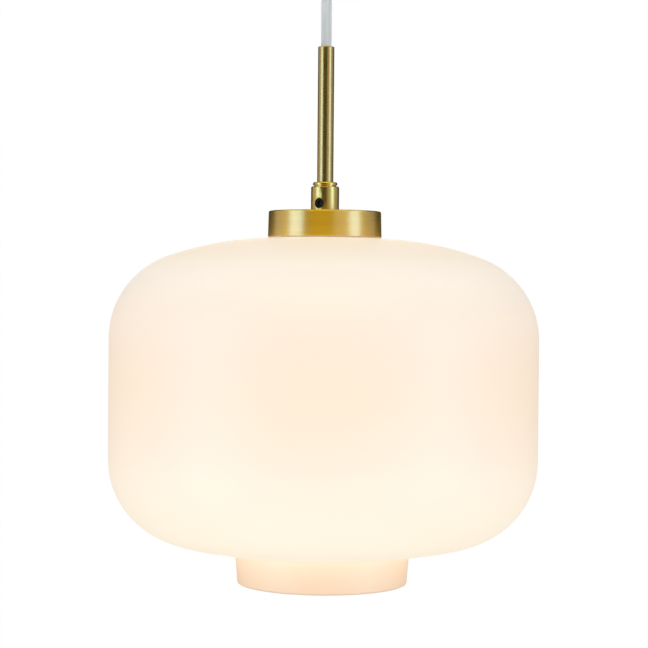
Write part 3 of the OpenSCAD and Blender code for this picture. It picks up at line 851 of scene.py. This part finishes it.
def make_side_screws():
    start = TAB_X - 3.5
    pair = []
    for angle in (0, 180):
        screw = slotted_screw("screw", 2, CANOPY_R - start, 3.5, 2.2, 0.7)
        pair.append(moved(screw, turn(angle, "Z") @ place(x=start, z=SCREW_Z)))
    stand_for(joined("canopy_side_screws", pair), "canopy_screws")
    earth = slotted_screw("bracket_screw", 1.5, STRIP_T + 2, 2.6, 1.6)
    stand_for(moved(earth, place(EARTH_X, EARTH_Y, -0.2) @ turn(90, "Y")), "bracket_earth_screw")


def make_grip():
    """The cord grip's body, nut, split insert and screw. Its ferrule is made with the cord."""
    plate_top = CANOPY_Z + 1.2
    stub_top = top("grip_body")
    depth = 0.5

    def outline(angle):
        stub = thread(M10_R - depth, depth, M10_PITCH, CANOPY_Z, stub_top - 0.2, angle)
        return [
            (GRIP_BORE, CANOPY_Z - 3), (GRIP_SOCKET_R + GAP, CANOPY_Z - 3),
            (GRIP_SOCKET_R + GAP, GRIP_JOINT_Z + 3), (GRIP_THREAD_R + GAP, GRIP_JOINT_Z + 3),
            (GRIP_THREAD_R + GAP, GRIP_JOINT_Z), (GRIP_R - 0.2, GRIP_JOINT_Z), (GRIP_R, GRIP_JOINT_Z + 0.2),
            *arc(GRIP_R - 0.8, CANOPY_Z - 0.8, 0.8, 0, 90, 6), *stub,
            (M10_R - 0.7, stub_top), (GRIP_BORE + 0.3, stub_top), (GRIP_BORE, stub_top - 0.3),
        ]
    body = turned("grip_collar", outline, 96)
    drill(body, 1.5 + GAP, GRIP_SOCKET_R - 1, GRIP_R + 1, place(z=GRIP_SCREW_Z) @ turn(90, "X"))
    stand_for(body, "grip_body")
    stand_for(nut("grip_hex_nut", NUT_FLATS, M10_R + GAP, plate_top, plate_top + 3), "grip_nut")
    low, high = GRIP_JOINT_Z + 1.5, CANOPY_Z - 3
    insert = turned("grip_sleeve", rounded([
        (CORD_R + 0.02, low, 0.3), (GRIP_SOCKET_R, low, 0.5), (GRIP_SOCKET_R, high, 0.5),
        (CORD_R + 0.02, high, 0.3),
    ]), 96)
    slit = block("slit", (CORD_R - 1, -0.5, low - 1), (GRIP_SOCKET_R + 1, 0.5, high + 1))
    stand_for(cut(insert, slit), "grip_insert")
    depth = 0.2

    def grub(angle):
        return [(0, 0)] + thread(1.5 - depth, depth, 0.5, 0, 1.9, angle) + [(0, 2)]
    screw = cut(turned("grip_grub_screw", grub, 48), block("slot", (-2, -0.2, 1.4), (2, 0.2, 3)))
    stand_for(moved(screw, place(y=-GRIP_SOCKET_R - 0.1, z=GRIP_SCREW_Z) @ turn(90, "X")), "grip_screw")


def make_ferrule():
    """The cord grip's flared mouth, screwed into its body."""
    upper = GRIP_JOINT_Z + 3
    bore = GRIP_SOCKET_R + 0.1
    depth = 0.4

    def outline(angle):
        mouth = arc(GRIP_SOCKET_R + 0.9, GRIP_MOUTH_Z + 0.8, 0.8, 200, 270, 5)
        edge = arc(GRIP_R - 0.7, GRIP_MOUTH_Z + 0.7, 0.7, -90, 0, 5)
        groove = arc(GRIP_R + 0.1, GRIP_JOINT_Z - 1.2, 0.45, -120, -240, 5)
        return [
            (CORD_R + 0.3, GRIP_JOINT_Z + 0.4), *mouth, *edge, *groove,
            (GRIP_R, GRIP_JOINT_Z - 0.15), (GRIP_R - 0.15, GRIP_JOINT_Z),
            (GRIP_THREAD_R - depth, GRIP_JOINT_Z),
            *thread(GRIP_THREAD_R - depth, depth, 0.75, GRIP_JOINT_Z + 0.1, upper - 0.1, angle),
            (bore, upper), (bore, GRIP_JOINT_Z + 0.8), (CORD_R + 0.3, GRIP_JOINT_Z + 0.8),
        ]
    return stand_for(turned("grip_mouth", outline, 96), "grip_ferrule")


def make_terminals():
    """The strip connector: a nylon block with three brass tubes and two screws in each."""
    low, high = [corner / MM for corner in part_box("terminal_block")]
    body = block("strip_connector", low, high, edge=0.8)
    tubes = []
    screws = []
    for x in POLE_X:
        along = place(x=x, z=POLE_Z) @ turn(-90, "X")
        drill(body, POLE_R + GAP, low.y - 1, high.y + 1, along)
        half = (high.y - low.y - 1) / 2
        pole = turned("pole", rounded([
            (1.35, -half, 0.2), (POLE_R, -half, 0.2), (POLE_R, half, 0.2), (1.35, half, 0.2),
        ]), 48)
        moved(pole, along)
        for y in (-POLE_SCREW_Y, POLE_SCREW_Y):
            drill(body, 1.9, low.z - 1, POLE_Z, place(x, y))
            drill(pole, 1.25 + GAP, low.z, POLE_Z, place(x, y))
            at = place(x, y, POLE_Z - CORE_R - 0.1) @ turn(90, "Y")
            screws.append(moved(slotted_screw("screw", 1.25, 2.8, 1.75, 1.4), at))
        tubes.append(pole)
    notch_h = 1.6
    for x in (-4.5, 4.5):
        for z in (low.z, high.z - notch_h):
            cut(body, block("notch", (x - 0.6, low.y - 1, z), (x + 0.6, high.y + 1, z + notch_h)))
    stand_for(body, "terminal_block")
    stand_for(joined("connector_tubes", tubes), "terminal_tubes")
    stand_for(joined("connector_screws", screws), "terminal_screws")


def tail_route(x):
    """A core's way from the sheath's end into the pole at x."""
    return [
        (x * 0.15, 0.8, -18.4), (x * 0.17, 0.5, -17.3), (x * 0.22, -0.3, -16.4), (x * 0.3, -1.7, -15.8),
        (x * 0.41, -3.8, -15.7), (x * 0.6, -7, -15.7), (x * 0.85, -11, -15.6), (x * 0.97, -13.6, -14.3),
        (x, -14.4, -12), (x, -13.4, -9.7), (x, -11.4, -8.3), (x, -8.6, -8), (x, -5.8, -8),
    ]


TAIL_EARTH_ROUTE = [
    (0, -1.5, -18.4), (0, -1.85, -17.3), (0, -2.7, -16.4), (0, -4.1, -15.8), (0, -6.3, -15.7),
    (0, -9, -15.7), (0, -11.6, -15.4), (0, -13.8, -14.2), (0, -14.6, -12), (0, -13.5, -9.7),
    (0, -11.4, -8.3), (0, -8.6, -8), (0, -5.8, -8),
]
EARTH_LINK_ROUTE = [
    (0, 6, -8), (0, 9, -8), (1, 13, -9), (8, 16, -10), (20, 15, -10), (32, 13, -8), (36, 10, -5),
    (37, 7, -3),
]


def holder_route(x):
    """A core's way from the sheath's end to the lampholder's terminal at x."""
    return [
        (x * across, 0, CAP_TOP - down) for across, down in (
            (0.17, 13.6), (0.2, 14.6), (0.34, 15.5), (0.6, 15.9), (0.82, 16.2), (0.96, 17.1),
            (1, 18.4), (1, 20),
        )
    ]


HOLDER_EARTH_ROUTE = [
    (0, y, CAP_TOP - down) for y, down in ((1.6, 13.6), (2, 15), (5, 16.5), (9, 16), (11, 14.6))
]
TERMINAL_X = 9.5


def make_cores():
    routes = {
        "tail_core_brown": tail_route(POLE_X[0]), "tail_core_blue": tail_route(POLE_X[2]),
        "tail_core_earth": TAIL_EARTH_ROUTE, "earth_link": EARTH_LINK_ROUTE,
        "holder_core_brown": holder_route(-TERMINAL_X), "holder_core_blue": holder_route(TERMINAL_X),
        "holder_core_earth": HOLDER_EARTH_ROUTE,
    }
    for node, corners in routes.items():
        route = smooth_route(corners, 5)
        radii = [CORE_R] * len(route)
        radii[0] = radii[-1] = CORE_R - 0.15
        stand_for(tube(node + "_wire", route, radii, sides=20), node)


def make_hidden_flex():
    for node in ("cord_tail", "cord_in_stem"):
        stand_for(rod(node + "_sheath", CORD_R, *heights(node), edge=0.5, segments=64), node)


# -------- inside the cap

NUT_TOP = bottom("lock_washer")
NUT_BOTTOM = bottom("nipple_nut")
WASHER_TEETH = 12


def make_nipple():
    """The hollow M10 nipple that holds the lamp together, with its toothed washer and its nut."""
    low, high = heights("nipple")
    bore = 3.9
    depth = 0.45

    def outline(angle):
        return (
            [(bore, low + 0.3), (bore + 0.3, low)]
            + thread(M10_R - depth, depth, M10_PITCH, low + 0.1, high - 0.1, angle)
            + [(bore + 0.3, high), (bore, high - 0.3)]
        )
    stand_for(turned("threaded_nipple", outline, 96), "nipple")
    stand_for(nut("nipple_hex_nut", NUT_FLATS, M10_R + GAP, NUT_BOTTOM, NUT_TOP), "nipple_nut")
    upper = top("lock_washer")

    def washer(angle):
        share = angle * WASHER_TEETH / (2 * pi) % 1 - 0.5
        tooth = 9 if abs(share) < 0.38 else 8
        twist = 0.25 * max(-0.38, min(0.38, share))
        inner = STEM_R + GAP
        return [
            (inner, NUT_TOP + 0.15), (7.8, NUT_TOP + 0.15), (tooth, NUT_TOP + 0.1 + twist),
            (tooth, upper - 0.1 + twist), (7.8, upper - 0.15), (inner, upper - 0.15),
        ]
    stand_for(turned("toothed_washer", washer, 288), "lock_washer")


# -------- lampholder

HOLDER_R = 19.8
HOLDER_WALL = 2
HOLDER_ROOF = CAP_TOP - 11
SEAM_Z = CAP_TOP - 17
SKIRT_STEP = CAP_TOP - 31.5
SKIRT_BOTTOM = bottom("holder_skirt")
INSERT_TOP = top("holder_insert")
HOLDER_EARTH_Y = 13
BULB_TIP_Z = top("bulb_contact")
E27_PITCH = 3.629


def make_holder_case():
    boss_r = 8.6
    boss_z = CAP_TOP - 9
    shoulder = HOLDER_ROOF - 2
    inner = HOLDER_R - HOLDER_WALL
    lid = turned("holder_lid", rounded([
        (STEM_R + GAP, NUT_BOTTOM), (boss_r, NUT_BOTTOM, 0.4), (boss_r, boss_z, 0.8),
        (HOLDER_R - 4, boss_z - 0.6, 1.5), (HOLDER_R - 1, boss_z - 2, 1.5), (HOLDER_R, shoulder, 1),
        (HOLDER_R, SEAM_Z, 0.3), (inner, SEAM_Z), (inner, shoulder, 0.8), (inner - 3, HOLDER_ROOF, 1),
        (STEM_R + GAP, HOLDER_ROOF),
    ]), 160)
    drill(lid, 1.5 + GAP, HOLDER_ROOF - 1, HOLDER_ROOF + 1.3, place(y=HOLDER_EARTH_Y))
    stand_for(lid, "holder_cap")
    screw = slotted_screw("holder_earth", 1.5, 2.6, 2.6, 1.2)
    at = place(y=HOLDER_EARTH_Y, z=HOLDER_ROOF + 1.2) @ turn(90, "Y")
    stand_for(moved(screw, at), "holder_earth_screw")
    depth = 0.7
    thread_end = SEAM_Z - 24
    mouth = 17.4

    def skirt(angle):
        return [
            (16, top("holder_skirt")), (17.7, top("holder_skirt")), (17.7, SEAM_Z),
            (HOLDER_R - depth, SEAM_Z),
            *reversed(thread(HOLDER_R - depth, depth, 2.5, thread_end, SEAM_Z - 0.1, angle)),
            (HOLDER_R - 0.3, thread_end - 0.2), (HOLDER_R, thread_end - 0.5),
            *arc(HOLDER_R - 1, SKIRT_BOTTOM + 1, 1, 0, -90, 6),
            (mouth + 0.4, SKIRT_BOTTOM), (mouth, SKIRT_BOTTOM + 0.4), (mouth, SKIRT_STEP - 1),
            (16, SKIRT_STEP),
        ]
    stand_for(turned("holder_sleeve", skirt, 160), "holder_skirt")


def make_holder_inside():
    insert = turned("ceramic_insert", rounded([
        (0, SKIRT_STEP), (15.9, SKIRT_STEP, 0.5), (15.9, INSERT_TOP, 0.8), (0, INSERT_TOP),
    ]), 128)
    cut(
        insert,
        block("pocket", (-3, -2.6, SKIRT_STEP - 1), (3, 2.6, SKIRT_STEP + 2)),
        block("pocket", (8, -2, SKIRT_STEP - 1), (12, 2, SKIRT_STEP + 1)),
    )
    stand_for(insert, "holder_insert")
    posts = []
    screws = []
    for side in (-1, 1):
        x = side * TERMINAL_X
        post = block("post", (x - 2.5, -3, INSERT_TOP), (x + 2.5, 3, INSERT_TOP + 6.5), edge=0.4)
        drill(post, CORE_R + 0.1, INSERT_TOP + 2, INSERT_TOP + 8, place(x))
        drill(post, 1.2 + GAP, 0, 6, place(x, 0, INSERT_TOP + 4.2) @ turn(90, "X"))
        posts.append(post)
        at = place(x, -CORE_R - 0.15, INSERT_TOP + 4.2) @ turn(-90, "Z")
        screws.append(moved(slotted_screw("screw", 1.2, 2.6, 2, 1.2), at))
    stand_for(joined("holder_posts", posts), "holder_terminals")
    stand_for(joined("holder_post_screws", screws), "holder_screws")
    bore, sheet = 13.45, 0.5
    depth = 0.9
    low = bottom("holder_shell")

    def shell(angle):
        inside = thread(bore, depth, E27_PITCH, low + 0.3, SKIRT_STEP - 1.5, angle, steps=10)
        outside = [(r + sheet, z) for r, z in reversed(inside)]
        return [
            (bore, low), *inside, (bore, SKIRT_STEP - 1), (bore - 0.5, SKIRT_STEP - sheet),
            (9, SKIRT_STEP - sheet), (9, SKIRT_STEP), (bore - 0.2, SKIRT_STEP),
            (bore + sheet, SKIRT_STEP - 0.7),
            *outside, (bore + sheet, low),
        ]
    stand_for(turned("threaded_socket", shell, 144), "holder_shell")
    foot, tongue = SKIRT_STEP + 2, bottom("centre_contact")
    spring = extruded("centre_spring", rounded([
        (-2.6, foot), (2.2, foot, 0.8), (2.2, tongue, 0.9), (-2.6, tongue, 0.1), (-2.6, tongue + 0.4, 0.1),
        (1.8, tongue + 0.4, 0.5), (1.8, foot - 0.4, 0.4), (-2.6, foot - 0.4),
    ]), -2, 2)
    stand_for(spring, "centre_contact")
    foot = SKIRT_STEP + 1
    clip = extruded("side_spring", rounded([
        (8.3, SKIRT_STEP), (8.7, SKIRT_STEP), (8.7, foot - 0.4, 0.2), (11.3, foot - 0.4),
        (11.3, foot), (8.3, foot, 0.4),
    ]), -1.5, 1.5)
    stand_for(clip, "side_contact")


def make_shade_clamp():
    """The ring that screws on under the glass, and the gaskets over and under the glass."""
    low, high = heights("shade_ring")
    bore, hub, flange = 19.9, 23, 27.5
    notch_r, notch_at = 1.5, 23.5

    def ring(angle):
        away = (angle + pi / 12) % (pi / 6) - pi / 12
        across = notch_at * sin(away)
        r = hub
        if abs(across) < notch_r:
            r = min(hub, notch_at * cos(away) - sqrt(notch_r ** 2 - across ** 2))
        return [
            (bore + 0.5, low), (r - 0.5, low), (r, low + 0.5), (r, high - 2), (flange - 0.4, high - 2),
            (flange, high - 1.6), (flange, high - 0.4), (flange - 0.4, high), (bore + 0.4, high),
            (bore, high - 0.4), (bore, low + 0.5),
        ]
    stand_for(turned("threaded_ring", ring, 480), "shade_ring")
    low, high = heights("upper_gasket")
    stand_for(turned("cap_gasket", rounded([
        (CAP_R - 4, low, 0.2), (CAP_R - 0.3, low, 0.2), (CAP_R - 0.3, high, 0.2), (CAP_R - 4, high, 0.2),
    ]), 160), "upper_gasket")
    low, high = heights("lower_gasket")
    under = CROWN_Z - GLASS_T
    stand_for(turned("ring_gasket", rounded([
        (bore, low), (flange - 0.5, low, 0.4), (flange - 0.5, under, 0.4), (HOLE_R - 0.1, under),
        (HOLE_R - 0.1, high, 0.3), (bore, high),
    ]), 160), "lower_gasket")


# -------- bulb

BULB_SHELL_TOP = top("bulb_shell")
BULB_SHELL_BOTTOM = bottom("bulb_shell")
BULB_SHELL_R = 13.15
GLOBE_R = radius("bulb_globe")
GLOBE_Z = bottom("bulb_globe") + GLOBE_R
HOUSING_WALL = 1.2
HOUSING_END = bottom("bulb_housing")
SEAM_TURN = degrees(asin(0.6))


def housing_outline(t):
    """The housing's flare from the screw shell to the globe, t mm inside its outer face."""
    neck, wide = 14.5, GLOBE_R * 0.8
    return [
        (neck - t + (wide - neck) * (1 - cos(pi / 2 * k / 30)),
         BULB_SHELL_BOTTOM + (HOUSING_END - BULB_SHELL_BOTTOM) * k / 30)
        for k in range(31)
    ]


def make_bulb_body():
    globe = turned("bulb_dome", (
        arc(0, GLOBE_Z, GLOBE_R, -90, SEAM_TURN, 48)
        + arc(0, GLOBE_Z, GLOBE_R - HOUSING_WALL, SEAM_TURN, -90, 48)
    ), 128)
    stand_for(globe, "bulb_globe")
    outer = housing_outline(0)
    outer[0] = (outer[0][0] - 0.4, outer[0][1])
    outer.insert(1, (14.5, BULB_SHELL_BOTTOM - 0.4))
    housing = turned("bulb_case", outer + list(reversed(housing_outline(HOUSING_WALL))), 128)
    stand_for(housing, "bulb_housing")


def make_bulb_base():
    depth = 1.05
    root = BULB_SHELL_R - depth
    sheet = 0.5
    lip = 12

    def shell(angle):
        outside = thread(root, depth, E27_PITCH, BULB_SHELL_BOTTOM + 1, BULB_SHELL_TOP - 1, angle, steps=10)
        inside = [(r - sheet, z) for r, z in reversed(outside)]
        return [
            (BULB_SHELL_R - sheet, BULB_SHELL_BOTTOM), (BULB_SHELL_R, BULB_SHELL_BOTTOM),
            *outside, (root, BULB_SHELL_TOP - 0.3), (root - 0.05, BULB_SHELL_TOP), (lip, BULB_SHELL_TOP),
            (lip, BULB_SHELL_TOP - 0.6), *inside,
        ]
    stand_for(turned("bulb_screw_shell", shell, 144), "bulb_shell")
    tip_r = 4.6
    low, high = heights("bulb_insulator")
    stand_for(turned("bulb_glass_cone", rounded([
        (2 + GAP, high), (tip_r, high, 0.3), (lip - GAP, low + 0.6, 0.4), (lip - GAP, low), (2 + GAP, low),
    ]), 96), "bulb_insulator")
    stem = bottom("bulb_contact")
    tip = turned("bulb_tip_contact", rounded([
        (0, BULB_TIP_Z), (tip_r - 1.4, BULB_TIP_Z, 1.2), (tip_r - 0.2, BULB_TIP_Z - 0.6, 0.4),
        (tip_r, BULB_TIP_Z - 1.2, 0.1), (2, BULB_TIP_Z - 1.2, 0.1), (2, stem, 0.2), (0, stem),
    ]), 64)
    stand_for(tip, "bulb_contact")


def make_bulb_inside():
    """The LED board with its twelve chips, and the driver that stands on it."""
    low, high = heights("led_board")
    stand_for(rod("led_disc", radius("led_board"), low, high, edge=0.3, segments=128), "led_board")
    chips = []
    for k in range(12):
        x = 13 + k % 2 * 2
        chip = block("chip", (x - 1.4, -1.4, low - 0.7), (x + 1.4, 1.4, low), edge=0.2)
        chips.append(moved(chip, turn(30 * k, "Z")))
    stand_for(joined("led_array", chips), "led_chips")
    board_top = top("bulb_driver")
    parts = [
        block("board", (-9, -0.8, high), (9, 0.8, board_top), edge=0.1),
        block("core", (-5, 0.8, high + 6), (5, 2.4, high + 15), edge=0.2),
        block("winding", (-3.4, 2.3, high + 7), (3.4, 6.8, high + 14), edge=1.4),
        moved(rod("capacitor", 2.35, 0, 8, edge=0.5), place(4.5, -3.15, high + 18)),
    ]
    for k in range(4):
        parts.append(block("chip", (-7, -1.9, high + 4 + 7 * k), (-3.5, -0.7, high + 7 + 7 * k), edge=0.15))
    stand_for(joined("driver_board", parts), "bulb_driver")


# -------- room and lights

ROOM_R = 6.0
FLOOR_Z = -3.0
COVE_R = 1.5
LIGHT_DISTANCE = 2.5
WHITE = (1.0, 1.0, 1.0)


def make_room():
    """A closed pale room, far from the lamp, that only the camera sees."""
    outline = [(0, FLOOR_Z)] + arc(ROOM_R - COVE_R, FLOOR_Z + COVE_R, COVE_R, -90, 0, 12)
    outline += arc(0, 0, ROOM_R, 0, 90, 24)
    points = [(r / MM, z / MM) for r, z in outline]
    room = turned("room", points + [(0, FLOOR_Z / MM)], segments=96)
    shade = Shading("room_white", "000000", 1.0, Emission_Color="ffffff", Emission_Strength=1.0)
    shade.material.cycles.emission_sampling = "NONE"  # it lights nothing
    room.data.materials.append(shade.material)
    room.visible_diffuse = False
    room.visible_glossy = False
    room.visible_transmission = False
    room.visible_shadow = False


def light(name, kind, place_in, glow, colour, diffuse, glossy):
    data = bpy.data.lights.new(name, kind)
    data.energy = glow
    data.color = colour
    lamp = in_scene(name, data)
    lamp.matrix_world = place_in
    lamp.visible_camera = False
    lamp.visible_diffuse = diffuse
    lamp.visible_glossy = glossy
    return data


def direction(azimuth, elevation, target_z=-0.28):
    """Where a light stands, at a turn in degrees to the right of the camera and a height in degrees."""
    aim = place(z=target_z) @ turn(azimuth, "Z") @ turn(-elevation, "X")
    return aim @ place(y=-LIGHT_DISTANCE) @ turn(90, "X")


def card(name, azimuth, spread, glow, low=-32, high=26, colour=WHITE, diffuse=False, glossy=True):
    """A soft light between two heights in degrees, spread degrees wide, with glow as its brightness."""
    middle = (low + high) / 2
    wide = 2 * LIGHT_DISTANCE * tan(radians(spread) / 2) * cos(radians(middle))
    tall = 2 * LIGHT_DISTANCE * tan(radians(high - low) / 2)
    power = glow * pi * wide * tall
    data = light(name, "AREA", direction(azimuth, middle), power, colour, diffuse, glossy)
    data.shape = "RECTANGLE"
    data.size = wide
    data.size_y = tall


def flex_spot(name, azimuth, power):
    """A narrow light on the free flex."""
    data = light(name, "SPOT", direction(azimuth, 12, target_z=-0.1), power, (0.95, 1.0, 1.07), True, False)
    data.spot_size = radians(7)
    data.spot_blend = 0.5
    data.shadow_soft_size = 0.15


def make_lights():
    world = bpy.data.worlds.new("world")
    world.use_nodes = True
    background = world.node_tree.nodes["Background"]
    background.inputs["Color"].default_value = (0.95, 1.0, 0.5, 1.0)
    background.inputs["Strength"].default_value = 0.05
    scene.world = world
    cool = (0.7, 1.03, 1.5)
    card("left_key", -60.5, 31, 1.85, colour=cool)
    card("right_key", 63, 26, 1.85, colour=cool)
    card("left_wash", -100, 46, 0.44)
    card("right_wash", 34, 32, 0.42)
    card("right_side", 100, 44, 0.32)
    card("left_top", -95, 50, 1.0, low=28, high=74)
    card("front_top", -15, 55, 1.75, low=28, high=74, colour=(1.0, 0.8, 0.08))
    card("right_front_top", 32, 50, 1.0, low=28, high=74, colour=(1.0, 1.0, 0.65))
    card("right_top", 90, 50, 1.0, low=28, high=74)
    card("left_soft", -50, 30, 1.2, diffuse=True, glossy=False)
    card("right_soft", 48, 30, 1.2, diffuse=True, glossy=False)
    card("back_strip", 180, 16, 1.2, diffuse=True)
    card("overhead", 0, 60, 0.8, low=60, high=100, diffuse=True, glossy=False)
    flex_spot("flex_left", -70, 180)
    flex_spot("flex_right", 68, 190)


# -------- assembly

MATERIALS = make_materials()
make_camera()
make_cord()
make_glass()
make_stem()
make_coupler()
make_cap()
make_canopy()
make_bracket()
make_side_screws()
make_grip()
make_terminals()
make_cores()
make_hidden_flex()
make_nipple()
make_holder_case()
make_holder_inside()
make_shade_clamp()
make_bulb_body()
make_bulb_base()
make_bulb_inside()
for node, piece in frame["nodes"].items():
    piece.data.materials.clear()
    piece.data.materials.append(MATERIALS[SLOTS[node]])
make_room()
make_lights()
scene.view_settings.view_transform = "Standard"
